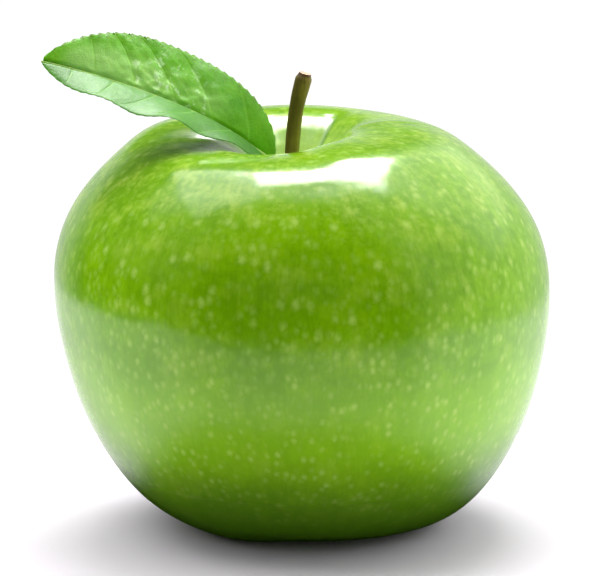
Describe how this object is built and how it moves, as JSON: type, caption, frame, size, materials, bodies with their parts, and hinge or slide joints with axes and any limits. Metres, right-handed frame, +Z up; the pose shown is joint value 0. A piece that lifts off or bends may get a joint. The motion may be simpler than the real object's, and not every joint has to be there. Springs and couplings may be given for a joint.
{
  "type": "green apple with stem and leaf",
  "caption": "Whole ribbed apple standing on its base, with a woody stem and a toothed leaf in the stem cavity and a dried flower in the basin below.",
  "frame": {"origin": "on the surface the apple stands on, under the middle of its bounding box", "axes": "+Z up along the core, -X towards the leaf's tip, -Y towards the side that is seen first"},
  "size_m": [0.0811, 0.0797, 0.0803],
  "materials": {
    "skin": "waxed green skin with pale dots",
    "stalk": "olive-brown bark, pale cut end",
    "foliage": "satin green blade with pale veins",
    "dried_flower": "dry, matt and brown"
  },
  "bodies": {
    "root": {"fruit": "skin", "stem": "stalk", "leaf": "foliage", "calyx": "dried_flower"}
  },
  "joints": []
}
